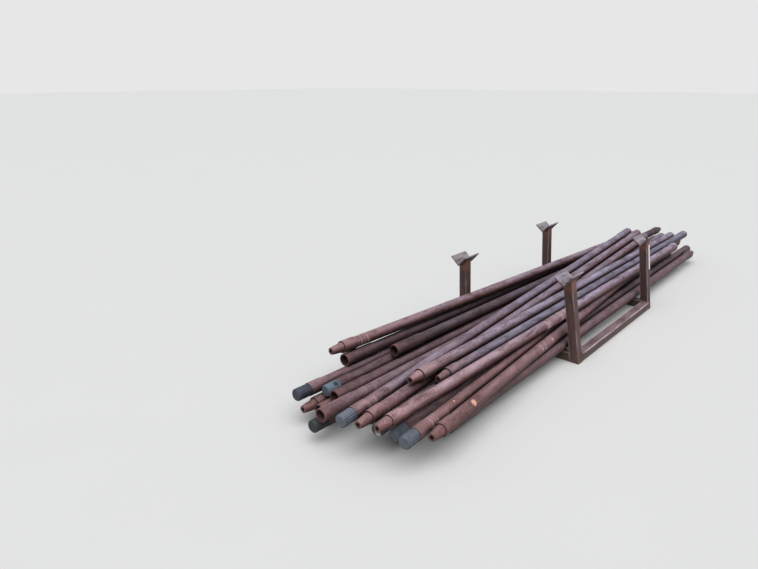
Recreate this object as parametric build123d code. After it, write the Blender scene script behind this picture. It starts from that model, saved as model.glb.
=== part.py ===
from build123d import *
import math
import os

os.makedirs("parts", exist_ok=True)

# Drill pipe: 10 ft from shoulder to shoulder, a pin at one end and a box at the other.
rod_length = 3048.0
tube_od = 48.3
tube_id = 35.5
joint_od = 54.0
pin_collar = 62.0
box_collar = 165.0
joint_taper = 28.0
pin_length = 60.0
pin_root_od = 42.0
pin_tip_od = 30.0
water_bore = 16.0
box_depth = 64.0
counterbore = 10.0
thread_play = 1.5

# Thread protector: a closed plastic sleeve pushed over a pin up to its shoulder.
cap_wall = 3.4
cap_end = 5.0
cap_slip = 0.3

# Rack: four stakes with saddles on top, side rails and cross members of square tube.
bar = 44.5
bar_wall = 3.2
rack_length = 950.0
front_foot = 342.0
back_foot = 293.0
front_height = 382.0
back_height = 360.0
saddle_leg = 64.0
saddle_thick = 6.4
saddle_length = 127.0
weld_gap = 0.1

# Lean of the stakes towards the back, as years of loading have left them.
lean_front_near = 11.0
lean_front_far = 9.0
lean_back_near = 3.0
lean_back_far = 4.5

# White marker strip on the outer face of the far front stake.
strip_width = 16.0
strip_length = 145.0
strip_thick = 1.5
strip_drop = 3.0

# Clearance kept under every pipe that rests on something else, and the step of the contact search.
rest_gap = 0.3
station = 20.0
roll_limit = 16.0

# Where the hand positions of the pipes are given: lateral places at these two distances from the rack's middle.
near_mark = -1500.0
far_mark = 1500.0

# Pipes in the order they were laid: name, end of the steel nearest the near side (shoulder of a pin or face
# of a box), lateral place at the near mark and at the far mark, which end is near, and protectors on the pin.
pipes = [
    ("01", -1437.0, -272.0, -258.0, "box", False),
    ("02", -1289.0, -217.0, -200.0, "pin", False),
    ("03", -1553.0, -163.0, -143.0, "pin", True),
    ("04", -1150.0, -108.0, -88.0, "box", False),
    ("05", -1100.0, -50.0, -32.0, "box", False),
    ("06", -1466.0, 44.0, 23.0, "pin", True),
    ("07", -1706.0, 99.0, 78.0, "pin", True),
    ("08", -1676.0, 162.0, 133.0, "box", False),
    ("09", -1651.0, 217.0, 188.0, "pin", False),
    ("10", -1650.0, 260.0, 232.0, "pin", True),
    ("11", -1750.0, 90.0, 60.0, "box", False),
    ("12", -1620.0, 150.0, 114.0, "box", False),
    ("13", -1546.0, 210.0, 175.0, "pin", True),
    ("14", -1536.0, -300.0, -110.0, "pin", False),
    ("15", -1620.0, -248.0, -55.0, "pin", True),
    ("16", -1276.0, 38.0, 8.0, "pin", False),
    ("17", -1230.0, 190.0, 60.0, "box", False),
    ("18", -1434.0, 252.0, 215.0, "box", False),
    ("19", -1426.0, 275.0, 150.0, "pin", False),
    ("20", -1612.0, -140.0, 35.0, "pin", True),
    ("21", -1665.0, -94.0, 78.0, "pin", False),
    ("22", -1696.0, -38.0, 122.0, "pin", True),
    ("23", -1256.0, -125.0, -150.0, "pin", False),
    ("24", -1676.0, -181.0, -208.0, "pin", False),
    ("25", -1376.0, -75.0, -100.0, "pin", False),
]


def revolved(outline):
    """Solid of revolution about X from a closed outline of (x, radius) points."""
    with BuildPart() as made:
        with BuildSketch(Plane.XY):
            with BuildLine():
                Polyline(*outline, close=True)
            make_face()
        revolve(axis=Axis.X)
    return made.part


def drill_pipe():
    """Pipe along +X with its pin shoulder at x = 0, the pin at x < 0 and the box mouth at x = rod_length."""
    mouth_id = pin_root_od + thread_play
    thread_end_id = pin_tip_od + thread_play
    return revolved([
        (-pin_length, water_bore / 2),
        (-pin_length, pin_tip_od / 2),
        (0, pin_root_od / 2),
        (0, joint_od / 2),
        (pin_collar, joint_od / 2),
        (pin_collar + joint_taper, tube_od / 2),
        (rod_length - box_collar - joint_taper, tube_od / 2),
        (rod_length - box_collar, joint_od / 2),
        (rod_length, joint_od / 2),
        (rod_length, mouth_id / 2),
        (rod_length - counterbore, mouth_id / 2),
        (rod_length - box_depth, thread_end_id / 2),
        (rod_length - box_collar, thread_end_id / 2),
        (rod_length - box_collar - joint_taper, tube_id / 2),
        (pin_collar + 2 * joint_taper, tube_id / 2),
        (pin_collar + joint_taper, water_bore / 2),
    ])


def thread_protector():
    """Closed sleeve that follows the pin's taper, on the same axis and datum as the pipe."""
    cap_tip_id = pin_tip_od + 2 * cap_slip
    cap_root_id = pin_root_od + 2 * cap_slip
    bottom = -pin_length - cap_slip
    return revolved([
        (bottom - cap_end, 0),
        (bottom - cap_end, cap_od() / 2 - cap_wall),
        (bottom - cap_end + cap_wall, cap_od() / 2),
        (-cap_slip, cap_od() / 2),
        (-cap_slip, cap_root_id / 2),
        (bottom, cap_tip_id / 2),
        (bottom, 0),
    ])


def cap_od():
    """Outside diameter of a thread protector."""
    return pin_root_od + 2 * cap_slip + 2 * cap_wall


def radius_at(along):
    """Outside radius of a pipe at a distance from its pin shoulder, with a protector over the pin."""
    if along < 0:
        return cap_od() / 2
    if along < pin_collar or along > rod_length - box_collar:
        return joint_od / 2
    into_taper = min(along - pin_collar, rod_length - box_collar - along)
    if into_taper < joint_taper:
        return joint_od / 2 - (joint_od - tube_od) / 2 * into_taper / joint_taper
    return tube_od / 2


class Laid:
    """A pipe in the stack: where it starts, how it points and how high its axis runs."""

    def __init__(self, start, near_side, far_side, near_end):
        self.start = start
        self.near_side = near_side
        self.far_side = far_side
        self.near_end = near_end
        self.base = 0.0
        self.rise = 0.0

    def side(self, x):
        return self.near_side + (self.far_side - self.near_side) * (x - near_mark) / (far_mark - near_mark)

    def spread(self):
        """How much wider the pipe's section is across the stack than its own radius."""
        return math.hypot(1, (self.far_side - self.near_side) / (far_mark - near_mark))

    def ends(self):
        """Lowest and highest x of the steel, the pin included."""
        reach = rod_length / self.spread()
        pin = (pin_length + cap_slip + cap_end) / self.spread()
        if self.near_end == "pin":
            return self.start - pin, self.start + reach
        return self.start, self.start + reach + pin

    def radius(self, x):
        """Largest radius within half a station of x."""
        found = 0.0
        for shift in (-station / 2, 0, station / 2):
            run = (x + shift - self.start) * self.spread()
            along = run if self.near_end == "pin" else rod_length - run
            found = max(found, radius_at(min(along, rod_length)))
        return found

    def height(self, x):
        return self.base + self.rise * x


def supports_under(pipe, laid):
    """Lowest height allowed to the pipe's axis wherever something lies below it, in order of x."""
    first, last = pipe.ends()
    needed = [(x, pipe.radius(x) + rest_gap) for x in (first, last)]
    for member in (-rack_length / 2, rack_length / 2):
        for edge in (-bar / 2, bar / 2):
            needed.append((member + edge, bar + pipe.radius(member + edge) + rest_gap))
    for other in laid:
        other_first, other_last = other.ends()
        stop = min(last, other_last) + station / 2
        x = math.ceil((max(first, other_first) - station / 2) / station) * station
        while x < stop:
            apart = abs(pipe.side(x) - other.side(x))
            reach = pipe.radius(x) + other.radius(x) + rest_gap
            wide = reach * max(pipe.spread(), other.spread())
            if apart < wide:
                needed.append((x, other.height(x) + reach * math.sqrt(1 - (apart / wide) ** 2)))
            x += station
    return sorted(needed)


def rest(pipe, laid):
    """Let the pipe down until it rests on both sides of its middle, and return the height there."""
    first, last = pipe.ends()
    middle = (first + last) / 2
    chain = []
    for x, z in supports_under(pipe, laid):
        while chain and chain[-1][0] == x and chain[-1][1] <= z:
            chain.pop()
        if chain and chain[-1][0] == x:
            continue
        while len(chain) > 1 and is_below(chain[-1], chain[-2], (x, z)):
            chain.pop()
        chain.append((x, z))
    for (ax, az), (bx, bz) in zip(chain, chain[1:]):
        if ax <= middle <= bx:
            pipe.rise = (bz - az) / (bx - ax)
            pipe.base = az - pipe.rise * ax
    return pipe.height(middle)


def is_below(point, left, right):
    """Whether a point lies on or under the line between two others."""
    share = (point[0] - left[0]) / (right[0] - left[0])
    return point[1] <= left[1] + share * (right[1] - left[1])


def stake_side(foot, lean, height):
    """Lateral place of a stake's middle line at a height."""
    return foot + height * math.tan(math.radians(lean))


def is_between_stakes(pipe):
    """Whether the pipe passes clear of the four stakes."""
    for middle, front_lean, back_lean in (
        (-rack_length / 2, lean_front_near, lean_back_near),
        (rack_length / 2, lean_front_far, lean_back_far),
    ):
        for x in (middle - bar / 2, middle + bar / 2):
            room = bar / 2 + pipe.radius(x) * pipe.spread() + 2 * rest_gap
            front_room = room / math.cos(math.radians(front_lean))
            back_room = room / math.cos(math.radians(back_lean))
            if pipe.side(x) < stake_side(-front_foot, front_lean, pipe.height(x)) + front_room:
                return False
            if pipe.side(x) > stake_side(back_foot, back_lean, pipe.height(x)) - back_room:
                return False
    return True


def settle(pipe, laid):
    """Roll the pipe sideways, never far, to where it lies lowest."""
    near_start = pipe.near_side
    far_start = pipe.far_side
    lowest = rest(pipe, laid)
    step = roll_limit / 2
    while step > 0.4:
        best = None
        for near_step, far_step in ((1, 0), (-1, 0), (0, 1), (0, -1), (1, 1), (-1, -1), (1, -1), (-1, 1)):
            near_try = pipe.near_side + near_step * step
            far_try = pipe.far_side + far_step * step
            if abs(near_try - near_start) > roll_limit or abs(far_try - far_start) > roll_limit:
                continue
            trial = Laid(pipe.start, near_try, far_try, pipe.near_end)
            height = rest(trial, laid)
            if height < lowest - 0.01 and is_between_stakes(trial):
                lowest = height
                best = trial
        if best is None:
            step /= 2
        else:
            pipe.near_side = best.near_side
            pipe.far_side = best.far_side
            pipe.base = best.base
            pipe.rise = best.rise


def laid_stack():
    """All pipes in the order they were laid, each one settled on those before it."""
    laid = []
    for _, start, near_side, far_side, near_end, _ in pipes:
        pipe = Laid(start, near_side, far_side, near_end)
        settle(pipe, laid)
        laid.append(pipe)
    return laid


def place_of(pipe):
    """Location that carries a pipe made along +X from its pin shoulder to its place in the stack."""
    towards_far = Vector(1, (pipe.far_side - pipe.near_side) / (far_mark - near_mark), pipe.rise)
    start = Vector(pipe.start, pipe.side(pipe.start), pipe.height(pipe.start))
    along = towards_far.normalized()
    if pipe.near_end == "box":
        start = start + along * rod_length
        along = along * -1
    across = Vector(0, 0, 1).cross(along)
    return Location(Plane(origin=start, x_dir=along, z_dir=along.cross(across)))


def square_tube(length):
    """Square tube along +Z from z = 0, open at both ends."""
    with BuildPart() as made:
        with BuildSketch():
            RectangleRounded(bar, bar, bar_wall)
            Rectangle(bar - 2 * bar_wall, bar - 2 * bar_wall, mode=Mode.SUBTRACT)
        extrude(amount=length)
    return made.part


def stake(lean, height):
    """Stake standing on z = 0 at the origin, leaning towards +Y, its top notched for the saddle's corner."""
    tall = height + bar
    leaning = Rot(-lean, 0, 0) * Pos(0, 0, -bar) * square_tube(tall + bar)
    notch = Rot(-lean, 0, 0) * Pos(0, 0, height) * saddle_space()
    floor = Pos(0, 0, -bar) * Box(4 * bar, 4 * bar, 2 * bar)
    return leaning - notch - floor


def saddle_space():
    """Wedge over a stake's notch: everything above the two outer faces of the saddle's legs."""
    half = 2 * bar
    with BuildPart() as made:
        with BuildSketch(Plane.YZ):
            with BuildLine():
                Polyline((0, 0), (half, half), (half, 3 * half), (-half, 3 * half), (-half, half), close=True)
            make_face()
        extrude(amount=half, both=True)
    return made.part


def saddle(lean, height):
    """Short piece of angle with its corner down, on top of a stake that leans towards +Y."""
    outer = saddle_leg / math.sqrt(2)
    inner = saddle_thick * math.sqrt(2)
    with BuildPart() as made:
        with BuildSketch(Plane.YZ):
            with BuildLine():
                Polyline(
                    (0, 0), (outer, outer), (outer - saddle_thick / math.sqrt(2), outer + saddle_thick / math.sqrt(2)),
                    (0, inner),
                    (-outer + saddle_thick / math.sqrt(2), outer + saddle_thick / math.sqrt(2)), (-outer, outer),
                    close=True,
                )
            make_face()
        extrude(amount=saddle_length / 2, both=True)
    return Rot(-lean, 0, 0) * Pos(0, 0, height + weld_gap * math.sqrt(2)) * made.part


def leaning_block(lean, room):
    """Solid bar as thick as a stake plus some room, leaning as the stake does, to cut what butts against it."""
    return Rot(-lean, 0, 0) * Box(bar + 2 * room, bar + 2 * room, 4 * front_height)


def cross_member(x, front_lean, back_lean):
    """Square tube across the rack between a front and a back stake, its ends cut to the stakes' lean."""
    length = front_foot + back_foot
    tube = Pos(x, -front_foot, bar / 2) * Rot(-90, 0, 0) * square_tube(length)
    front = Pos(x, -front_foot, 0) * leaning_block(front_lean, weld_gap)
    back = Pos(x, back_foot, 0) * leaning_block(back_lean, weld_gap)
    return tube - front - back


def side_rail(y):
    """Square tube on the ground between the two stakes of one side."""
    length = rack_length - bar - 2 * weld_gap
    return Pos(-length / 2, y, bar / 2) * Rot(0, 90, 0) * square_tube(length)


def marker_strip():
    """Thin strip standing against the front face of a stake, near its far corner."""
    middle = front_height - strip_drop - strip_length / 2
    beside = bar / 2 - bar_wall - strip_width / 2
    return Pos(beside, -bar / 2 - weld_gap - strip_thick / 2, middle) * Box(strip_width, strip_thick, strip_length)


half = rack_length / 2
corners = {
    "front_near": (-half, -front_foot, lean_front_near, front_height),
    "front_far": (half, -front_foot, lean_front_far, front_height),
    "back_near": (-half, back_foot, lean_back_near, back_height),
    "back_far": (half, back_foot, lean_back_far, back_height),
}

pieces = {}
for corner, (x, y, lean, height) in corners.items():
    pieces["stake_" + corner] = Pos(x, y, 0) * stake(lean, height)
    pieces["saddle_" + corner] = Pos(x, y, 0) * saddle(lean, height)
pieces["rail_front"] = side_rail(-front_foot)
pieces["rail_back"] = side_rail(back_foot)
pieces["cross_member_near"] = cross_member(-half, lean_front_near, lean_back_near)
pieces["cross_member_far"] = cross_member(half, lean_front_far, lean_back_far)
strip_x, strip_y, strip_lean, _ = corners["front_far"]
pieces["marker_strip"] = Pos(strip_x, strip_y, 0) * Rot(-strip_lean, 0, 0) * marker_strip()

pipe_solid = drill_pipe()
cap_solid = thread_protector()
for (name, _, _, _, _, capped), laid in zip(pipes, laid_stack()):
    place = place_of(laid)
    pieces["drill_pipe_" + name] = place * pipe_solid
    if capped:
        pieces["thread_protector_" + name] = place * cap_solid

# The origin is the middle of the whole stack's footprint on the floor.
boxes = [piece.bounding_box() for piece in pieces.values()]
middle_x = (min(box.min.X for box in boxes) + max(box.max.X for box in boxes)) / 2
middle_y = (min(box.min.Y for box in boxes) + max(box.max.Y for box in boxes)) / 2
for name, piece in pieces.items():
    export_step(Pos(-middle_x, -middle_y, 0) * piece, "parts/" + name + ".step")
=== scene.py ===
import math

import bpy
from mathutils import Matrix, Vector, noise


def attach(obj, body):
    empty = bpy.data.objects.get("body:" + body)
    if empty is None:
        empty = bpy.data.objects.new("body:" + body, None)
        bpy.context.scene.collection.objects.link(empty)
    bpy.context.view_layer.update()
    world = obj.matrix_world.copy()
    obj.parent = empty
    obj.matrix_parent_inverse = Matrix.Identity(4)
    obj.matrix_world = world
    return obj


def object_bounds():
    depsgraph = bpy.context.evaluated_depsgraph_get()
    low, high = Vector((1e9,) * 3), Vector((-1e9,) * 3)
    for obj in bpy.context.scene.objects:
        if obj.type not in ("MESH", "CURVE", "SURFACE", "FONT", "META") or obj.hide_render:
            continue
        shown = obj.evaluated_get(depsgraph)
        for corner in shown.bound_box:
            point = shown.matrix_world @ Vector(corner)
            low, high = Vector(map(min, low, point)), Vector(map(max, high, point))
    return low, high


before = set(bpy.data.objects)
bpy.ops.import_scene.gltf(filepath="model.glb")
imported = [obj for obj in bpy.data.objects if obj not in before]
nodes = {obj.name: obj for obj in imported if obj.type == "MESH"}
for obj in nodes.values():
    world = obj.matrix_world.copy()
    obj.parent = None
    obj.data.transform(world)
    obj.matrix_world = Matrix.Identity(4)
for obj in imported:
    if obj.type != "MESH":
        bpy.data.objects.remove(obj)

cadLow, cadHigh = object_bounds()
print("frame:", len(nodes), "pieces, box", [round(v, 3) for v in cadHigh - cadLow])


# the camera sees the rack from its near front corner
view = {
    "place": (-3.1639, -1.3588, 1.2852),
    "tilt": 71.01,       # 90 is level
    "turn": -48.49,
    "lens": 28.5,
    "sensor": 36.0,
}
cameraData = bpy.data.cameras.new("camera")
cameraData.lens = view["lens"]
cameraData.sensor_width = view["sensor"]
camera = bpy.data.objects.new("camera", cameraData)
camera.location = view["place"]
camera.rotation_euler = (math.radians(view["tilt"]), 0, math.radians(view["turn"]))
bpy.context.scene.collection.objects.link(camera)
bpy.context.scene.camera = camera
bpy.context.scene.view_settings.view_transform = "Standard"


# helpers for node trees and meshes
def addNode(tree, kind, **settings):
    made = tree.nodes.new(kind)
    for key, value in settings.items():
        setattr(made, key, value)
    return made


# value is a number, a colour, a vector or another node's output
def feed(tree, socket, value):
    if isinstance(value, bpy.types.NodeSocket):
        tree.links.new(value, socket)
    else:
        socket.default_value = value


def mathNode(tree, operation, a, b=0.0, c=0.0, clamp=False):
    made = addNode(tree, "ShaderNodeMath", operation=operation, use_clamp=clamp)
    for socket, value in zip(made.inputs, (a, b, c)):
        feed(tree, socket, value)
    return made.outputs[0]


def times(tree, *values, clamp=False):
    product = values[0]
    for value in values[1:]:
        product = mathNode(tree, "MULTIPLY", product, value, clamp=clamp)
    return product


# two values added, each times its share
def shares(tree, first, firstShare, second, secondShare):
    return mathNode(tree, "MULTIPLY_ADD", first, firstShare, times(tree, second, secondShare))


def spread(tree, value, low, high, toLow=0.0, toHigh=1.0, smooth=True):
    made = addNode(tree, "ShaderNodeMapRange", interpolation_type="SMOOTHSTEP" if smooth else "LINEAR")
    for label, given in (("Value", value), ("From Min", low), ("From Max", high),
                         ("To Min", toLow), ("To Max", toHigh)):
        feed(tree, made.inputs[label], given)
    return made.outputs["Result"]


def colour(red, green, blue):
    return (red, green, blue, 1.0)


def mixColour(tree, factor, a, b, blend="MIX"):
    made = addNode(tree, "ShaderNodeMix", data_type="RGBA", blend_type=blend)
    feed(tree, made.inputs[0], factor)
    feed(tree, made.inputs[6], a)
    feed(tree, made.inputs[7], b)
    return made.outputs[2]


# lays a tone over the base where the mask is
def cover(tree, mask, base, tone, amount=1.0):
    if amount != 1.0:
        mask = times(tree, mask, amount)
    return mixColour(tree, mask, base, colour(*tone))


def vectorNode(tree, operation, a, b):
    made = addNode(tree, "ShaderNodeVectorMath", operation=operation)
    feed(tree, made.inputs[0], a)
    feed(tree, made.inputs[1], b)
    return made.outputs


def scaled(tree, vector, factors):
    return vectorNode(tree, "MULTIPLY", vector, factors)[0]


def shifted(tree, vector, offset):
    return vectorNode(tree, "ADD", vector, offset)[0]


def splitVector(tree, vector):
    made = addNode(tree, "ShaderNodeSeparateXYZ")
    feed(tree, made.inputs[0], vector)
    return made.outputs


def objectPlace(tree):
    return addNode(tree, "ShaderNodeTexCoord").outputs["Object"]


def faceNormal(tree):
    return addNode(tree, "ShaderNodeNewGeometry").outputs["Normal"]


def noiseNode(tree, vector, scale, detail, rough, warp=0.0):
    made = addNode(tree, "ShaderNodeTexNoise")
    for label, given in (("Vector", vector), ("Scale", scale), ("Detail", detail),
                         ("Roughness", rough), ("Distortion", warp)):
        feed(tree, made.inputs[label], given)
    return made.outputs["Fac"]


# noise with one scale along a piece and another across it
def grainNoise(tree, vector, along, across, detail, rough, warp=0.0):
    return noiseNode(tree, scaled(tree, vector, (along, across, across)), 1.0, detail, rough, warp)


def addBump(tree, shader, height, strength, depth):
    bump = addNode(tree, "ShaderNodeBump")
    bump.inputs["Strength"].default_value = strength
    bump.inputs["Distance"].default_value = depth
    feed(tree, bump.inputs["Height"], height)
    feed(tree, shader.inputs["Normal"], bump.outputs[0])


def newGroup(name, inputs, outputs):
    tree = bpy.data.node_groups.new(name, "ShaderNodeTree")
    for label, kind, value in inputs:
        socket = tree.interface.new_socket(label, in_out="INPUT", socket_type="NodeSocket" + kind)
        if value is not None:
            socket.default_value = value
    for label, kind in outputs:
        tree.interface.new_socket(label, in_out="OUTPUT", socket_type="NodeSocket" + kind)
    entry = addNode(tree, "NodeGroupInput")
    leave = addNode(tree, "NodeGroupOutput")
    return tree, entry.outputs, leave.inputs


def useGroup(tree, group, **values):
    made = addNode(tree, "ShaderNodeGroup", node_tree=group)
    for label, value in values.items():
        feed(tree, made.inputs[label], value)
    return made.outputs


def newMaterial(name):
    material = bpy.data.materials.new(name)
    material.use_nodes = True
    tree = material.node_tree
    tree.nodes.clear()
    shader = addNode(tree, "ShaderNodeBsdfPrincipled")
    output = addNode(tree, "ShaderNodeOutputMaterial")
    tree.links.new(shader.outputs["BSDF"], output.inputs["Surface"])
    shader.inputs["Specular IOR Level"].default_value = .3   # rust and dust shine little
    return material, tree, shader


def dress(node, material):
    nodes[node].data.materials.clear()
    nodes[node].data.materials.append(material)


def meshPiece(name, points, faces, material):
    mesh = bpy.data.meshes.new(name)
    mesh.from_pydata(points, [], faces)
    mesh.update()
    mesh.shade_smooth()
    mesh.materials.append(material)
    made = bpy.data.objects.new(name, mesh)
    bpy.context.scene.collection.objects.link(made)
    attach(made, "root")


# the quads between rings of points; a closed tube joins its last ring to its first
def tubeFaces(rings, sides, flip=False, closed=False):
    faces = []
    for i in range(rings if closed else rings - 1):
        here, there = i * sides, (i + 1) % rings * sides
        for j in range(sides):
            k = (j + 1) % sides
            quad = (here + j, here + k, there + k, there + j)
            faces.append(quad[::-1] if flip else quad)
    return faces


# places a point in a piece's own space: x along it from Place, y and z across it
ownSpace, given, gives = newGroup("ownSpace", [
    ("Place", "Vector", (0, 0, 0)),
    ("Turn", "Vector", (0, 0, 0)),
    ("Shift", "Vector", (0, 0, 0)),
], [("Vector", "Vector"), ("Along", "Float"), ("Around", "Float")])
tree = ownSpace
mapping = addNode(tree, "ShaderNodeMapping", vector_type="TEXTURE")
feed(tree, mapping.inputs["Vector"], objectPlace(tree))
feed(tree, mapping.inputs["Location"], given["Place"])
feed(tree, mapping.inputs["Rotation"], given["Turn"])
axes = splitVector(tree, mapping.outputs[0])
feed(tree, gives["Along"], axes["X"])
feed(tree, gives["Around"], mathNode(tree, "ARCTAN2", axes["Z"], axes["Y"]))
feed(tree, gives["Vector"], shifted(tree, mapping.outputs[0], given["Shift"]))

# weathered steel: dark scale, brown rust over it, orange bloom, lengthwise streaks and pits
rustedSteel, given, gives = newGroup("rustedSteel", [
    ("Vector", "Vector", None),
    ("Scale Colour", "Color", colour(.05, .03, .035)),
    ("Rust Colour", "Color", colour(.15, .075, .07)),
    ("Bloom Colour", "Color", colour(.3, .13, .09)),
    ("Rust", "Float", .6),
    ("Bloom", "Float", .3),
    ("Streaks", "Float", .5),
    ("Pits", "Float", .5),
], [("Color", "Color"), ("Roughness", "Float"), ("Height", "Float")])
tree = rustedSteel
vector = given["Vector"]
blotches = grainNoise(tree, vector, 4, 11, 7, .62, .3)
patches = grainNoise(tree, vector, 26, 40, 8, .66, .6)
mottle = grainNoise(tree, vector, 90, 130, 5, .62, .5)
streaks = grainNoise(tree, vector, 5, 150, 5, .55)
grit = noiseNode(tree, vector, 420.0, 5, .7)
cells = addNode(tree, "ShaderNodeTexVoronoi", feature="F1")
feed(tree, cells.inputs["Vector"], vector)
feed(tree, cells.inputs["Scale"], 260.0)
feed(tree, cells.inputs["Randomness"], 1.0)
pitted = spread(tree, noiseNode(tree, vector, 60.0, 3, .5), .5, .68)
pits = times(tree, spread(tree, cells.outputs["Distance"], .32, .08), pitted, given["Pits"])
# rust wins where the patches, blotches and streaks together pass a line that Rust lowers
rustLine = mathNode(tree, "SUBTRACT", .86, times(tree, given["Rust"], .62))
rusty = mathNode(tree, "MULTIPLY_ADD", mathNode(tree, "SUBTRACT", streaks, .5),
                 times(tree, given["Streaks"], .55), shares(tree, patches, .55, blotches, .45))
rustMask = spread(tree, rusty,
                  mathNode(tree, "SUBTRACT", rustLine, .13), mathNode(tree, "ADD", rustLine, .13))
bloomLine = mathNode(tree, "SUBTRACT", .88, times(tree, given["Bloom"], .55))
bloomMask = spread(tree, shares(tree, grit, .35, patches, .65),
                   mathNode(tree, "SUBTRACT", bloomLine, .12), mathNode(tree, "ADD", bloomLine, .16))
base = mixColour(tree, rustMask, given["Scale Colour"], given["Rust Colour"])
base = mixColour(tree, bloomMask, base, given["Bloom Colour"])
# fine light and dark freckles
shade = spread(tree, shares(tree, grit, .45, mottle, .55), .3, .7, .68, 1.33, smooth=False)
shadeColour = addNode(tree, "ShaderNodeCombineColor")
for socket in shadeColour.inputs:
    feed(tree, socket, shade)
base = mixColour(tree, 1.0, base, shadeColour.outputs[0], "MULTIPLY")
feed(tree, gives["Color"], cover(tree, pits, base, (.022, .014, .014), .75))
# rust and bloom are duller than the scale, and the pits are sunk
rough = mathNode(tree, "MULTIPLY_ADD", rustMask, .12, .5)
rough = mathNode(tree, "MULTIPLY_ADD", bloomMask, .16, rough)
rough = mathNode(tree, "MULTIPLY_ADD", mathNode(tree, "SUBTRACT", grit, .5), .22, rough)
feed(tree, gives["Roughness"], rough)
height = mathNode(tree, "MULTIPLY_ADD", rustMask, .35, shares(tree, grit, .45, patches, .8))
feed(tree, gives["Height"], mathNode(tree, "MULTIPLY_ADD", pits, -1.4, height))

# pale dust and bleaching with a painted sheen on whatever faces the sky, and painted shade that darkens the
# undersides
skyDust, given, gives = newGroup("skyDust", [
    ("Vector", "Vector", None),
    ("Amount", "Float", .5),
], [("Mask", "Float"), ("Under", "Float")])
tree = skyDust
up = splitVector(tree, faceNormal(tree))["Z"]
drift = shares(tree, noiseNode(tree, given["Vector"], 190.0, 4, .6), .4,
               grainNoise(tree, given["Vector"], 9, 30, 6, .62, .4), .6)
feed(tree, gives["Mask"], times(tree, spread(tree, up, .05, 1.0), spread(tree, drift, .32, .64),
                                given["Amount"], clamp=True))
feed(tree, gives["Under"], spread(tree, up, .38, -.72))

# painted shade: near-black darkening where pieces lie close together
gapGrime, given, gives = newGroup("gapGrime", [
    ("Vector", "Vector", None),
    ("Reach", "Float", .03),
    ("Amount", "Float", .8),
], [("Mask", "Float")])
tree = gapGrime
nearby = addNode(tree, "ShaderNodeAmbientOcclusion", samples=4, only_local=False)
feed(tree, nearby.inputs["Distance"], given["Reach"])
patchy = spread(tree, grainNoise(tree, given["Vector"], 12, 40, 5, .62), .2, .5, .7, 1)
feed(tree, gives["Mask"], times(tree, spread(tree, nearby.outputs["AO"], .66, .24), patchy,
                                given["Amount"], clamp=True))

# rubbed edges, bare or bright where corners have been knocked
edgeWear, given, gives = newGroup("edgeWear", [
    ("Vector", "Vector", None),
    ("Amount", "Float", .5),
], [("Mask", "Float")])
tree = edgeWear
bevel = addNode(tree, "ShaderNodeBevel", samples=4)
feed(tree, bevel.inputs["Radius"], .0028)
turned = vectorNode(tree, "DOT_PRODUCT", bevel.outputs[0], faceNormal(tree))["Value"]
broken = spread(tree, noiseNode(tree, given["Vector"], 75.0, 5, .7), .36, .6)
feed(tree, gives["Mask"], times(tree, spread(tree, turned, .995, .86), broken, given["Amount"], clamp=True))

# mud and dried soil thrown up from the ground
groundSoil, given, gives = newGroup("groundSoil", [
    ("Vector", "Vector", None),
    ("Reach", "Float", .05),
], [("Mask", "Float")])
tree = groundSoil
ragged = spread(tree, noiseNode(tree, given["Vector"], 38.0, 6, .66, .5), .25, .75, .25, 1.7, smooth=False)
above = splitVector(tree, objectPlace(tree))["Z"]
part = mathNode(tree, "DIVIDE", above, times(tree, given["Reach"], ragged))
feed(tree, gives["Mask"], spread(tree, part, 1.1, .2))

# short bright rubs across a pipe, in a band along it, and the zone that they lie in
crossScuffs, given, gives = newGroup("crossScuffs", [
    ("Vector", "Vector", None),
    ("Along", "Float", 0.0),
    ("From", "Float", 0.0),
    ("To", "Float", .1),
    ("Amount", "Float", .5),
], [("Mask", "Float"), ("Zone", "Float")])
tree = crossScuffs
worn = grainNoise(tree, given["Vector"], 26, 34, 4, .6)
lines = times(tree, spread(tree, grainNoise(tree, given["Vector"], 74, 9, 4, .62, .25), .49, .6),
              spread(tree, worn, .36, .56))
band = times(tree, spread(tree, given["Along"], given["From"], mathNode(tree, "ADD", given["From"], .03)),
             spread(tree, given["Along"], given["To"], mathNode(tree, "SUBTRACT", given["To"], .03)))
feed(tree, gives["Mask"], times(tree, band, lines, given["Amount"], clamp=True))
feed(tree, gives["Zone"], times(tree, band, spread(tree, worn, .32, .55), given["Amount"], clamp=True))

# light rubs along the rounded corners of a square tube, whose own x runs along it
tubeCorners, given, gives = newGroup("tubeCorners", [
    ("Vector", "Vector", None),
    ("Grain", "Vector", None),
    ("Half", "Float", .022),
    ("Width", "Float", .004),
    ("Amount", "Float", .5),
], [("Mask", "Float")])
tree = tubeCorners
across = splitVector(tree, given["Vector"])
apart = []
for axis in ("Y", "Z"):
    side = mathNode(tree, "SUBTRACT", mathNode(tree, "ABSOLUTE", across[axis]), given["Half"])
    apart.append(mathNode(tree, "POWER", mathNode(tree, "ABSOLUTE", side), 2.0))
apart = mathNode(tree, "DIVIDE", mathNode(tree, "SQRT", mathNode(tree, "ADD", *apart)), given["Width"])
broken = spread(tree, grainNoise(tree, given["Grain"], 10, 60, 6, .68, .3), .36, .56)
feed(tree, gives["Mask"], times(tree, spread(tree, apart, 1.25, .55), broken, given["Amount"], clamp=True))

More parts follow.
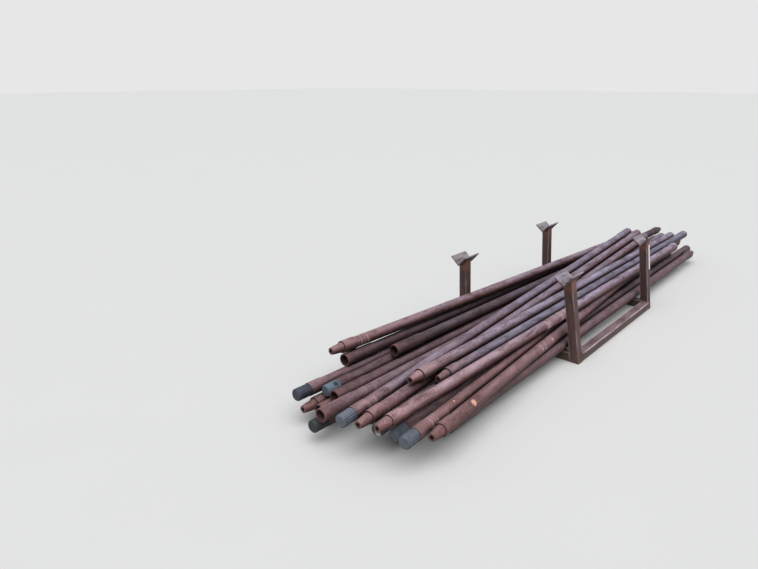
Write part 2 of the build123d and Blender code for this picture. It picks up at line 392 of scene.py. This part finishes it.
# one ragged spot, where scale has come off or something has rubbed
raggedSpot, given, gives = newGroup("raggedSpot", [
    ("Vector", "Vector", None),
    ("Place", "Vector", (0, 0, 0)),
    ("Size", "Float", .02),
    ("Amount", "Float", 1.0),
], [("Mask", "Float")])
tree = raggedSpot
reach = vectorNode(tree, "DISTANCE", given["Vector"], given["Place"])["Value"]
edge = noiseNode(tree, given["Vector"], 120.0, 5, .68, .3)
part = mathNode(tree, "MULTIPLY_ADD", edge, 1.35, mathNode(tree, "DIVIDE", reach, given["Size"]))
feed(tree, gives["Mask"], times(tree, spread(tree, part, 1.95, 1.15), given["Amount"], clamp=True))
print("shared effects:", len(bpy.data.node_groups))


# drill pipes: a pin at one end and a box at the other, both with a conical thread
pipeForm = {
    "length": 3.048,
    "pin": .060,               # shoulder to tip
    "pinRoot": .021,           # radii of the pin's cone
    "pinTip": .015,
    "mouth": .02175,           # radii of the box's cone
    "boxEnd": .01575,
    "counterbore": .010,
    "boxDepth": .064,
    "pinRun": (.0015, -.003),  # the thread's start behind the tip, and its stop from the shoulder
    "boxRun": (.004, .002),    # the thread's start above the box's bottom, and its stop in the counterbore
    "pitch": .00508,
    "threadDepth": .0011,
    "standOff": .00012,        # keeps the thread's roots clear of the cone
    "steps": 6,                # rings of points in one turn of the thread
    "sides": 44,
}
# the colours of each steel: scale, rust and bloom
pipeTones = {
    "brown": ((.058, .031, .034), (.150, .080, .083), (.29, .15, .125)),
    "red": ((.070, .031, .031), (.185, .086, .080), (.36, .165, .125)),
    "steel": ((.050, .040, .052), (.112, .084, .102), (.21, .13, .12)),
    "dark": ((.040, .023, .026), (.105, .056, .058), (.21, .105, .09)),
}
# what all the pipes share: colours, how far and how fully they cover, and the relief's strength and depth
pipeSkin = {
    # the bleach colours are dusty tops with a painted sheen; the lavender one is a painted sky reflection
    "bleachWarm": (.57, .355, .385),
    "bleachCool": (.475, .43, .595),
    "coolNear": .3,                # length over which the bleach and painted sheen takes up a pipe's own cool
    "coolFar": (-1.4, -.1, .55),   # from where to where it turns cooler on every pipe, and by how much
    "under": (.013, .005, .007),
    "underCover": .93,
    "grime": (.012, .005, .007),
    "grimeReach": .055,
    "grimeCover": .96,
    "rubZone": (.41, .21, .22),
    "rubZoneCover": .6,
    "rub": (.70, .51, .54),
    "spotRim": (.46, .22, .18),
    "spotCore": (.90, .50, .40),
    "edge": (.26, .16, .14),
    "edgeCover": .45,
    "soil": (.10, .082, .062),
    "soilReach": .035,
    "soilCover": .6,
    "relief": (.55, .0007),
}
# tone, then how much rust, bloom, streaks, pits, and bleach with painted sheen; cool: how lavender the
# painted sheen is from the near end on; rubs: from, to, amount; spots: along, across, up, size, amount
plain = dict(tone="brown", rust=.6, bloom=.3, streaks=.45, pits=.5, dust=.65, cool=.2, rubs=None, spots=())
pipeLooks = {
    "01": dict(plain, rust=.65, dust=.3, cool=0),
    "02": dict(plain, tone="dark", dust=.3, cool=0),
    "03": dict(plain, tone="dark", dust=.42, cool=.1),
    "04": dict(plain, tone="dark", dust=.3),
    "05": dict(plain, tone="dark", dust=.3),
    "06": dict(plain, bloom=.35, dust=.45),
    "07": dict(plain, tone="dark", bloom=.35, dust=.45),
    "08": dict(plain, tone="red", rust=.7, bloom=.42, dust=.45, cool=0, rubs=(2.8, 2.95, .4)),
    "09": dict(plain, tone="red", rust=.7, bloom=.45, dust=.45, cool=0, rubs=(.1, .24, .4)),
    "10": dict(plain, dust=.56, cool=.25),
    "11": dict(plain, dust=.46, cool=.5, rubs=(2.7, 2.85, .25)),
    "12": dict(plain, dust=.22, cool=.3),
    "13": dict(plain, tone="dark", dust=.26, cool=.4),
    "14": dict(plain, tone="red", rust=.65, bloom=.35, dust=.46, cool=.1, rubs=(.78, 1.02, .35), spots=(
        (.210, -.0145, .0192, .0125, 1),
        (.2085, -.0198, .0137, .0085, .55),
        (.213, -.0085, .0226, .010, .35),
        (.829, -.0214, .0113, .0075, .4),
        (.950, -.0179, .0163, .008, .6))),
    "15": dict(plain, tone="red", rust=.65, bloom=.4, dust=.4, cool=0, rubs=(.05, .2, .35), spots=(
        (.247, -.0079, .0228, .006, .55),)),
    "16": dict(plain, dust=.6, cool=.55),
    "17": dict(plain, tone="dark", rust=.55, bloom=.15, streaks=.6, dust=.2, cool=.7),
    "18": dict(plain, tone="dark", bloom=.2, dust=.22, cool=.5),
    "19": dict(plain, tone="red", dust=.72, rubs=(.06, .16, .3)),
    "20": dict(plain, tone="red", rust=.65, bloom=.4, dust=.55, cool=.6, rubs=(.05, .2, .3)),
    "21": dict(plain, tone="red", rust=.65, bloom=.35, dust=.62, cool=.65, rubs=(.05, .2, .35)),
    "22": dict(plain, bloom=.25, streaks=.6, dust=.7, cool=.6, rubs=(.05, .15, .3)),
    "23": dict(plain, tone="steel", rust=.55, bloom=.25, streaks=.65, dust=.62, cool=.7),
    "24": dict(plain, tone="red", streaks=.6, dust=1, cool=.25, rubs=(1.10, 1.40, 1.0)),
    "25": dict(plain, rust=.55, bloom=.25, streaks=.6, dust=.88, cool=.55),
}


# gives the pin's shoulder and the pipe's own axes, from the piece's vertices
def pipeAxis(node):
    spots = {tuple(round(v, 6) for v in vertex.co) for vertex in nodes[node].data.vertices}
    spots = [Vector(spot) for spot in spots]
    first = min(spots, key=lambda spot: spot.x)
    last = max(spots, key=lambda spot: spot.x)
    along = (last - first).normalized()
    ends = []
    for way in (1, -1):
        least = min(way * spot.dot(along) for spot in spots)
        ring = [spot for spot in spots if way * spot.dot(along) < least + .001]
        middle = sum(ring, Vector()) / len(ring)
        ends.append((max((spot - middle).length for spot in ring), middle))
    (nearRadius, near), (farRadius, far) = ends
    pinTip, boxFace = (near, far) if nearRadius < farRadius else (far, near)
    along = (boxFace - pinTip).normalized()
    across = Vector((0, 0, 1)).cross(along).normalized()
    turn = Matrix((along, across, along.cross(across))).transposed()
    return pinTip + along * pipeForm["pin"], turn


def pipeMaterial(name, look, shoulder, turn):
    material, tree, shader = newMaterial("pipeRust" + name)
    skin, length = pipeSkin, pipeForm["length"]
    number = int(name)
    shift = Vector((number * 3.7, number * 1.3, number * 2.9))   # its own place in the noise
    space = useGroup(tree, ownSpace, Place=shoulder, Turn=turn.to_euler(), Shift=shift)
    vector, along = space["Vector"], space["Along"]
    # pins and mouths are rustier and redder than the rest
    ends = mathNode(tree, "ADD", spread(tree, along, .004, -.012),
                    spread(tree, along, length - .05, length + .01), clamp=True)
    scaleTone, rustTone, bloomTone = pipeTones[look["tone"]]
    steel = useGroup(tree, rustedSteel, **{
        "Vector": vector,
        "Scale Colour": colour(*scaleTone),
        "Rust Colour": mixColour(tree, ends, colour(*rustTone), colour(*pipeTones["red"][1])),
        "Bloom Colour": colour(*bloomTone),
        "Rust": mathNode(tree, "MULTIPLY_ADD", ends, .2, look["rust"]),
        "Bloom": mathNode(tree, "MULTIPLY_ADD", ends, .06, look["bloom"]),
        "Streaks": look["streaks"],
        "Pits": look["pits"],
    })
    # the bleached, dusty top carries a painted sheen, warm at the near end and turning lavender further on as
    # a painted sky reflection
    where = splitVector(tree, objectPlace(tree))["X"]
    nearEnd = min(shoulder.x, shoulder.x + turn[0][0] * length)
    coolStart, coolStop, coolest = skin["coolFar"]
    cool = mathNode(tree, "ADD", spread(tree, where, nearEnd, nearEnd + skin["coolNear"], 0, look["cool"]),
                    spread(tree, where, coolStart, coolStop, 0, coolest), clamp=True)
    bleach = mixColour(tree, cool, colour(*skin["bleachWarm"]), colour(*skin["bleachCool"]))
    sky = useGroup(tree, skyDust, Vector=vector, Amount=look["dust"])
    dustAndSheenMask = mathNode(tree, "MULTIPLY_ADD", ends, -.04, sky["Mask"], clamp=True)
    base = mixColour(tree, dustAndSheenMask, steel["Color"], bleach)
    # painted shade: the undersides are darkened towards near black
    base = cover(tree, sky["Under"], base, skin["under"], skin["underCover"])
    # painted shade: near-black darkening in the gaps where pieces lie close
    grime = useGroup(tree, gapGrime, Vector=vector, Reach=skin["grimeReach"], Amount=skin["grimeCover"])
    base = cover(tree, grime["Mask"], base, skin["grime"])
    if look["rubs"]:
        start, stop, amount = look["rubs"]
        rubs = useGroup(tree, crossScuffs, Vector=vector, Along=along, From=start, To=stop, Amount=amount)
        base = cover(tree, rubs["Zone"], base, skin["rubZone"], skin["rubZoneCover"])
        base = cover(tree, rubs["Mask"], base, skin["rub"])
    for x, y, z, size, amount in look["spots"]:
        spot = useGroup(tree, raggedSpot, Vector=vector, Place=Vector((x, y, z)) + shift, Size=size)["Mask"]
        base = cover(tree, spread(tree, spot, 0, .55), base, skin["spotRim"], amount)
        base = cover(tree, spread(tree, spot, .3, .9), base, skin["spotCore"], amount)
    wear = useGroup(tree, edgeWear, Vector=vector, Amount=skin["edgeCover"])["Mask"]
    base = cover(tree, wear, base, skin["edge"])
    soil = useGroup(tree, groundSoil, Vector=vector, Reach=skin["soilReach"])["Mask"]
    feed(tree, shader.inputs["Base Color"], cover(tree, soil, base, skin["soil"], skin["soilCover"]))
    rough = mathNode(tree, "MULTIPLY_ADD", sky["Mask"], .18, steel["Roughness"])
    feed(tree, shader.inputs["Roughness"], mathNode(tree, "MULTIPLY_ADD", wear, -.12, rough, clamp=True))
    addBump(tree, shader, steel["Height"], *skin["relief"])
    return material


# helical thread over the pin's cone, or inside the box's
def threadSleeve(name, shoulder, turn, material, inside):
    form = pipeForm
    if inside:
        start = form["length"] - form["boxDepth"] + form["boxRun"][0]
        stop = form["length"] - form["counterbore"] + form["boxRun"][1]
        startRadius, stopRadius, way = form["boxEnd"], form["mouth"], -1
    else:
        start, stop = -form["pin"] + form["pinRun"][0], form["pinRun"][1]
        startRadius, stopRadius, way = form["pinTip"], form["pinRoot"], 1
    rings, sides = int((stop - start) / form["pitch"] * form["steps"]), form["sides"]
    points = []
    for i in range(rings + 1):
        part = i / rings
        x = start + (stop - start) * part
        fade = min(1, part * 9, (1 - part) * 9)   # the thread runs out at both ends
        for j in range(sides):
            angle = 2 * math.pi * j / sides
            phase = (x / form["pitch"] + j / sides) % 1
            crest = min(.8, max(0, 1 - abs(phase - .5) * 3.1))   # straight flanks and a flat top
            worn = .75 + .35 * noise.noise(Vector((x * 60, angle, int(name))))
            reach = startRadius + (stopRadius - startRadius) * part
            reach += way * (form["standOff"] + form["threadDepth"] * crest * fade * worn)
            points.append(shoulder + turn @ Vector((x, reach * math.cos(angle), reach * math.sin(angle))))
    meshPiece(("box" if inside else "pin") + "_thread_" + name, points,
              tubeFaces(rings + 1, sides, flip=not inside), material)


pipeFrames = {}
for name, look in pipeLooks.items():
    shoulder, turn = pipeAxis("drill_pipe_" + name)
    pipeFrames[name] = (shoulder, turn)
    material = pipeMaterial(name, look, shoulder, turn)
    dress("drill_pipe_" + name, material)
    threadSleeve(name, shoulder, turn, material, inside=True)
    if "thread_protector_" + name not in nodes:
        threadSleeve(name, shoulder, turn, material, inside=False)
print("drill pipes:", len(pipeFrames))


# thread protectors
capForm = {
    "radius": .0247,
    "start": -.0612,     # the ribbed part, from the pin's shoulder
    "stop": -.0035,
    "taper": .0012,      # the ribs' ends
    "ribs": 17,
    "ribHeight": .0007,
    "standOff": .0001,   # the grooves lie this far above the protector, the sleeve's ends as far below
    "inset": .0002,      # ribs stay this far inside the box of the CAD
    "steps": 8,          # points across one rib
}
# what all the protectors share: colours, how fully they cover, and the relief's strength and depth
capSkin = {
    "bleach": (.30, .33, .40),
    "under": (.008, .009, .012),
    "underCover": .8,
    "dirt": (.10, .062, .048),
    "spotCover": .9,
    "edge": (.19, .21, .25),
    "edgeCover": .5,
    "relief": (.9, .0011),
}
# colour in the grooves and on the ribs, contrast of the ribs, dust and painted sheen on the top, dirt, and an
# odd spot:
# along, across, up, size, colour
capLooks = {
    "03": dict(groove=(.040, .046, .060), rib=(.165, .178, .218), ribs=.75, top=.5, dirt=.2, spot=None),
    "06": dict(groove=(.030, .036, .044), rib=(.085, .105, .125), ribs=.6, top=.4, dirt=.35, spot=None),
    "07": dict(groove=(.012, .013, .015), rib=(.034, .038, .042), ribs=.4, top=.18, dirt=.15, spot=None),
    "10": dict(groove=(.012, .014, .024), rib=(.058, .067, .098), ribs=.75, top=.2, dirt=.1, spot=None),
    "13": dict(groove=(.080, .110, .150), rib=(.170, .220, .275), ribs=.5, top=.45, dirt=.2,
               spot=(-.020, -.012, .020, .013, (.030, .045, .065))),
    "15": dict(groove=(.030, .036, .050), rib=(.150, .170, .215), ribs=.75, top=.4, dirt=.15, spot=None),
    "20": dict(groove=(.016, .016, .020), rib=(.050, .050, .062), ribs=.6, top=.25, dirt=.3,
               spot=(-.064, -.006, -.010, .014, (.42, .34, .34))),
    "22": dict(groove=(.030, .036, .052), rib=(.165, .182, .232), ribs=.8, top=.5, dirt=.15, spot=None),
}


def capMaterial(name, look, shoulder, turn):
    material, tree, shader = newMaterial("protector" + name)
    skin, form = capSkin, capForm
    number = int(name)
    shift = Vector((number * 2.3, number * 4.1, number))   # its own place in the noise
    space = useGroup(tree, ownSpace, Place=shoulder, Turn=turn.to_euler(), Shift=shift)
    vector = space["Vector"]
    weather = noiseNode(tree, vector, 45.0, 6, .62, .4)
    scratches = grainNoise(tree, vector, 30, 420, 4, .6)
    ribs = mathNode(tree, "SINE", times(tree, space["Around"], float(form["ribs"])))
    ribs = spread(tree, ribs, -.9, .2, 1 - look["ribs"], 1)
    # the closed end has no ribs
    onSide = spread(tree, space["Along"], form["start"] - .003, form["start"])
    ribs = mathNode(tree, "MULTIPLY_ADD", mathNode(tree, "SUBTRACT", ribs, 1.0), onSide, 1.0)
    worn = times(tree, ribs, spread(tree, weather, .3, .7, .45, 1.15, smooth=False), clamp=True)
    base = mixColour(tree, worn, colour(*look["groove"]), colour(*look["rib"]))
    base = cover(tree, spread(tree, scratches, .58, .72, 0, .4), base, look["rib"])
    # dust and a painted sheen on the top, and painted shade that darkens the underside
    sky = useGroup(tree, skyDust, Vector=vector, Amount=look["top"])
    base = cover(tree, sky["Mask"], base, skin["bleach"])
    base = cover(tree, sky["Under"], base, skin["under"], skin["underCover"])
    stain = noiseNode(tree, vector, 90.0, 5, .7)
    base = cover(tree, spread(tree, stain, .52, .74, 0, look["dirt"]), base, skin["dirt"])
    if look["spot"]:
        x, y, z, size, tone = look["spot"]
        spot = useGroup(tree, raggedSpot, Vector=vector, Place=Vector((x, y, z)) + shift, Size=size,
                        Amount=skin["spotCover"])
        base = cover(tree, spot["Mask"], base, tone)
    wear = useGroup(tree, edgeWear, Vector=vector, Amount=skin["edgeCover"])["Mask"]
    feed(tree, shader.inputs["Base Color"], cover(tree, wear, base, skin["edge"]))
    feed(tree, shader.inputs["Roughness"], spread(tree, weather, .3, .7, .44, .62, smooth=False))
    addBump(tree, shader, mathNode(tree, "MULTIPLY_ADD", scratches, .25, ribs), *skin["relief"])
    return material


# lengthwise ribs round a protector
def capRibs(name, shoulder, turn, material):
    form = capForm
    count = form["ribs"] * form["steps"]
    stations = (form["start"] - form["taper"], form["start"], form["stop"], form["stop"] + form["taper"])
    low = [v + form["inset"] for v in cadLow]
    high = [v - form["inset"] for v in cadHigh]
    points = []
    for i, x in enumerate(stations):
        for j in range(count):
            angle = 2 * math.pi * j / count
            rise = min(1, max(0, math.sin(form["ribs"] * angle) * 1.2 + .6))   # wide ribs, narrow grooves
            worn = .8 + .3 * noise.noise(Vector((angle * 2, x * 40, int(name))))
            reach = form["radius"] + form["standOff"] + form["ribHeight"] * rise * worn
            if i in (0, len(stations) - 1):
                reach = form["radius"] - form["standOff"]
            point = shoulder + turn @ Vector((x, reach * math.cos(angle), reach * math.sin(angle)))
            points.append([min(max(v, least), most) for v, least, most in zip(point, low, high)])
    meshPiece("protector_ribs_" + name, points, tubeFaces(len(stations), count, flip=True), material)


for name, look in capLooks.items():
    shoulder, turn = pipeFrames[name]
    material = capMaterial(name, look, shoulder, turn)
    dress("thread_protector_" + name, material)
    capRibs(name, shoulder, turn, material)
print("thread protectors:", len(capLooks))


# the rack of square tube, angle saddles and welds
rackForm = {
    "bar": .0445,
    "stand": .001,       # how far a bead's middle stands off the steel
    "floorGap": .0045,   # beads end this far above the floor
}
# what the rack's pieces share: colours, how far and how fully they cover, and the relief's strength and depth
rackSkin = {
    "streaks": .25,
    "pits": .7,
    "heated": (.235, .098, .072),
    "under": (.022, .012, .012),
    "underCover": .45,
    "cornerWidth": .0052,
    "soil": (.105, .078, .058),
    "soilReach": .045,
    "soilCover": .6,
    "relief": (.6, .0009),
}
# colours of the steel, of its bleached tops with painted sheen and of its rubbed edges; how far rust covers
# it and blooms;
# how strong the bleach and painted sheen, the rubs and the weld's heat are; how the grain is stretched, first
# along the tube
rackLooks = {
    "stake": dict(
        scale=(.050, .028, .028), rust=(.130, .072, .068), bloom=(.27, .13, .095),
        bleach=(.44, .34, .37), rub=(.34, .25, .25), cover=.62, glow=.3,
        dust=.3, edges=.8, corners=.7, weld=.85, stretch=(.25, 1, 1)),
    "saddle": dict(
        scale=(.062, .044, .050), rust=(.160, .108, .110), bloom=(.30, .15, .105),
        bleach=(.54, .49, .56), rub=(.56, .46, .44), cover=.55, glow=.32,
        dust=1.0, edges=1.0, corners=0, weld=0, stretch=(1, 1, 1)),
    "rail": dict(
        scale=(.046, .029, .029), rust=(.120, .070, .066), bloom=(.24, .125, .09),
        bleach=(.50, .36, .41), rub=(.60, .46, .48), cover=.6, glow=.25,
        dust=.5, edges=.8, corners=1.0, weld=0, stretch=(.3, 1, 1)),
    "cross": dict(
        scale=(.040, .025, .025), rust=(.110, .064, .058), bloom=(.22, .115, .08),
        bleach=(.44, .34, .37), rub=(.34, .25, .24), cover=.55, glow=.25,
        dust=.4, edges=.6, corners=.5, weld=0, stretch=(.3, 1, 1)),
    "weld": dict(
        scale=(.070, .028, .022), rust=(.230, .095, .068), bloom=(.42, .17, .10),
        bleach=(.44, .34, .37), rub=(.40, .25, .20), cover=.75, glow=.5,
        dust=.3, edges=.2, corners=0, weld=0, stretch=(1, 1, 1)),
}


def pieceBox(name):
    spots = [vertex.co for vertex in nodes[name].data.vertices]
    return [Vector([pick(spot[axis] for spot in spots) for axis in range(3)]) for pick in (min, max)]


# the foot of a stake, the corner under its saddle and the stake's own up, from the saddle's vertices
def stakeLine(corner):
    spots = [vertex.co.copy() for vertex in nodes["saddle_" + corner].data.vertices]
    lowest = min(spots, key=lambda spot: spot.z)
    inside = min((spot for spot in spots if abs(spot.x - lowest.x) < .001 and (spot - lowest).length > .002),
                 key=lambda spot: (spot - lowest).length)
    up = (inside - lowest).normalized()
    middle = (min(spot.x for spot in spots) + max(spot.x for spot in spots)) / 2
    vee = Vector((middle, lowest.y, lowest.z))
    return vee - up * (vee.z / up.z), vee, up


# where a piece of the rack starts, its own axes with x along the tube, and how high it reaches
def rackSpace(name):
    kind, _, corner = name.partition("_")
    if kind in ("stake", "saddle"):
        foot, vee, up = stakeLine(corner)
        if kind == "saddle":
            return vee, Matrix(((1, 0, 0), (0, up.z, -up.y), up)).transposed(), vee.z
        return foot, Matrix((up, (1, 0, 0), up.cross(Vector((1, 0, 0))))).transposed(), vee.z
    low, high = pieceBox(name)
    middle = (low + high) / 2
    if kind == "rail":
        return middle, Matrix.Identity(3), high.z
    return middle, Matrix(((0, 1, 0), (-1, 0, 0), (0, 0, 1))).transposed(), high.z


def rackMaterial(name, look, number, place, turn, top):
    material, tree, shader = newMaterial("rackRust" + name)
    skin = rackSkin
    own = useGroup(tree, ownSpace, Place=place, Turn=turn.to_euler())["Vector"]
    grain = shifted(tree, own, (number * 5.1, number * 2.7, number * 1.9))   # its own place in the noise
    steel = useGroup(tree, rustedSteel, **{
        "Vector": scaled(tree, grain, look["stretch"]),
        "Scale Colour": colour(*look["scale"]),
        "Rust Colour": colour(*look["rust"]),
        "Bloom Colour": colour(*look["bloom"]),
        "Rust": look["cover"],
        "Bloom": look["glow"],
        "Streaks": skin["streaks"],
        "Pits": skin["pits"],
    })
    base = steel["Color"]
    if look["weld"]:
        # fresh red rust in the zone that the weld under the saddle has heated
        ragged = noiseNode(tree, grain, 55.0, 5, .65, .4)
        reach = mathNode(tree, "MULTIPLY_ADD", ragged, .05, splitVector(tree, objectPlace(tree))["Z"])
        heated = spread(tree, reach, top - .030, top + .022, 0, look["weld"])
        base = cover(tree, heated, base, skin["heated"])
    # dust and a painted sheen on the top, and painted shade that darkens the underside
    sky = useGroup(tree, skyDust, Vector=grain, Amount=look["dust"])
    base = cover(tree, sky["Mask"], base, look["bleach"])
    base = cover(tree, sky["Under"], base, skin["under"], skin["underCover"])
    wear = useGroup(tree, edgeWear, Vector=grain, Amount=look["edges"])["Mask"]
    if look["corners"]:
        rubbed = useGroup(tree, tubeCorners, Vector=own, Grain=grain, Half=rackForm["bar"] / 2,
                          Width=skin["cornerWidth"], Amount=look["corners"])["Mask"]
        wear = mathNode(tree, "MAXIMUM", wear, rubbed)
    base = cover(tree, wear, base, look["rub"])
    soil = useGroup(tree, groundSoil, Vector=grain, Reach=skin["soilReach"])["Mask"]
    feed(tree, shader.inputs["Base Color"], cover(tree, soil, base, skin["soil"], skin["soilCover"]))
    rough = mathNode(tree, "MULTIPLY_ADD", sky["Mask"], .2, steel["Roughness"])
    feed(tree, shader.inputs["Roughness"], mathNode(tree, "MULTIPLY_ADD", wear, -.1, rough, clamp=True))
    addBump(tree, shader, steel["Height"], *skin["relief"])
    return material


rackPieces = sorted(name for name in nodes if name.startswith(("stake", "saddle", "rail", "cross")))
for number, name in enumerate(rackPieces, 1):
    kind = name.split("_")[0]
    dress(name, rackMaterial(name.title().replace("_", ""), rackLooks[kind], number, *rackSpace(name)))
weldMaterial = rackMaterial("Weld", rackLooks["weld"], 40, Vector(), Matrix.Identity(3), 0)
print("rack:", len(rackPieces))

# rippled weld beads, where the pieces of the rack meet
weldForm = {
    "radius": .0042,
    "ripple": .0042,     # length of one ripple
    "waver": .0007,      # how unevenly the bead was laid
    "inset": .0002,      # beads stay this far inside the box of the CAD
    "lowest": .0003,
    "sides": 8,
    "seed": 1,
}
noise.seed_set(weldForm["seed"])   # noise_vector starts at random, so this lays the same beads in each run


def weldBead(name, corners, closed=False):
    form = weldForm
    corners = [Vector(corner) for corner in corners]
    if closed:
        corners.append(corners[0])
    path = []
    for start, stop in zip(corners, corners[1:]):
        count = max(2, round((stop - start).length / form["ripple"] * 2))
        path += [start.lerp(stop, i / count) for i in range(count)]
    if not closed:
        path.append(corners[-1])
    last, sides = len(path) - 1, form["sides"]
    shift = Vector((corners[0].x * 50, corners[0].y * 50, len(name)))   # each bead has its own unevenness
    points = []
    for i, spot in enumerate(path):
        before = path[i - 1] if i or closed else path[0]
        after = path[(i + 1) % len(path)] if i < last or closed else path[-1]
        along = (after - before).normalized()
        side = along.orthogonal().normalized()
        up = along.cross(side)
        drift = noise.noise_vector(shift + spot * 90) * form["waver"]
        reach = form["radius"] * (.92 + .12 * (i % 2) + .22 * noise.noise(shift + spot * 140))
        if not closed:
            reach *= min(1, .35 + .3 * min(i, last - i))   # a bead thins out at its ends
        for j in range(sides):
            angle = 2 * math.pi * j / sides
            points.append(spot + drift + (side * math.cos(angle) + up * math.sin(angle)) * reach)
    # a bead never leaves the box of the rack
    for point in points:
        point.y = min(max(point.y, cadLow.y + form["inset"]), cadHigh.y - form["inset"])
        point.z = max(point.z, form["lowest"])
    faces = tubeFaces(len(path), sides, closed=closed)
    if not closed:
        faces.append(tuple(range(sides))[::-1])
        faces.append(tuple(last * sides + j for j in range(sides)))
    meshPiece(name, points, faces, weldMaterial)


def weldRack():
    half = rackForm["bar"] / 2
    off = rackForm["stand"]
    low, high = rackForm["floorGap"], rackForm["bar"] + off
    for corner in ("front_near", "front_far", "back_near", "back_far"):
        foot, vee, up = stakeLine(corner)
        side = Vector((0, up.z, -up.y))
        # round the notch under the saddle; s is 0 at its lowest point and 1 or -1 at its two tips
        ring = [(-1, -1), (-1, 0), (-1, 1), (1, 1), (1, 0), (1, -1)]
        weldBead("weld_saddle_" + corner, [
            vee + Vector((x * (half + off), 0, 0))
            + side * (s * (half + off * (s != 0))) + up * (abs(s) * half - off)
            for x, s in ring], closed=True)
        # the rail's end on the stake's face towards the middle of the rack
        inward = 1 if corner.endswith("near") else -1
        slope, wide = up.y / up.z, half / up.z
        x = foot.x + inward * (half + off)

        def lowSide(z):
            return max(foot.y - half - off, foot.y + slope * z - wide + off)

        def highSide(z):
            return min(foot.y + half + off, foot.y + slope * z + wide - off)

        weldBead("weld_rail_" + corner, [(x, lowSide(low), low), (x, lowSide(high), high),
                                         (x, highSide(high), high), (x, highSide(low), low)])
        # the cross member's end on the stake's inner face
        inner = 1 if corner.startswith("front") else -1

        def face(z):
            return foot.y + slope * z + inner * (wide + off)

        weldBead("weld_cross_" + corner, [
            (foot.x - half, face(low), low), (foot.x - half, face(high), high),
            (foot.x + half, face(high), high), (foot.x + half, face(low), low)])


weldRack()


# marker strip
stripLook = {
    "plastic": (.95, .95, .94),
    "grime": (.55, .50, .46),
    "grimeCover": .5,
    "relief": (.3, .0003),
}
material, tree, shader = newMaterial("markerPlastic")
space = useGroup(tree, ownSpace)
grime = noiseNode(tree, scaled(tree, space["Vector"], (1, 1, .3)), 160.0, 6, .65, .4)
grimy = spread(tree, grime, .55, .75, 0, stripLook["grimeCover"])
feed(tree, shader.inputs["Base Color"],
     mixColour(tree, grimy, colour(*stripLook["plastic"]), colour(*stripLook["grime"])))
feed(tree, shader.inputs["Roughness"], spread(tree, grime, .3, .7, .38, .6, smooth=False))
addBump(tree, shader, grime, *stripLook["relief"])
dress("marker_strip", material)


# floor and light
studio = {
    "floorSize": 60.0,
    "floor": (.80, .80, .79),
    "floorMottle": (.7, .7, .69),
    "mottleCover": .05,
    "floorRoughness": .9,
    "backdrop": (.80, .80, .80),
    "worldTone": (.95, .975, 1.0),
    "world": .38,
    "sky": 2.0,              # soft light from above
    "skySoftness": 75.0,     # degrees across
    "skyTilt": (14.0, -12.0),
}
material, tree, shader = newMaterial("floorPaint")
mottle = spread(tree, noiseNode(tree, objectPlace(tree), 2.0, 4, .5), .3, .7, 0, studio["mottleCover"])
feed(tree, shader.inputs["Base Color"],
     mixColour(tree, mottle, colour(*studio["floor"]), colour(*studio["floorMottle"])))
shader.inputs["Roughness"].default_value = studio["floorRoughness"]
size = studio["floorSize"]
mesh = bpy.data.meshes.new("floor")
mesh.from_pydata([(-size, -size, 0), (size, -size, 0), (size, size, 0), (-size, size, 0)], [], [(0, 1, 2, 3)])
mesh.materials.append(material)
floor = bpy.data.objects.new("floor", mesh)
bpy.context.scene.collection.objects.link(floor)

# the pieces are lit by the world, the camera sees the backdrop
world = bpy.data.worlds.new("studio")
world.use_nodes = True
bpy.context.scene.world = world
tree = world.node_tree
tree.nodes.clear()
light = addNode(tree, "ShaderNodeBackground")
light.inputs["Color"].default_value = colour(*studio["worldTone"])
light.inputs["Strength"].default_value = studio["world"]
shown = addNode(tree, "ShaderNodeBackground")
shown.inputs["Color"].default_value = colour(*studio["backdrop"])
shown.inputs["Strength"].default_value = 1.0
path = addNode(tree, "ShaderNodeLightPath")
pick = addNode(tree, "ShaderNodeMixShader")
output = addNode(tree, "ShaderNodeOutputWorld")
tree.links.new(path.outputs["Is Camera Ray"], pick.inputs[0])
tree.links.new(light.outputs[0], pick.inputs[1])
tree.links.new(shown.outputs[0], pick.inputs[2])
tree.links.new(pick.outputs[0], output.inputs["Surface"])

lampData = bpy.data.lights.new("softSky", "SUN")
lampData.energy = studio["sky"]
lampData.angle = math.radians(studio["skySoftness"])
lamp = bpy.data.objects.new("softSky", lampData)
lamp.rotation_euler = [math.radians(v) for v in studio["skyTilt"]] + [0]
bpy.context.scene.collection.objects.link(lamp)
print("floor and light ready")
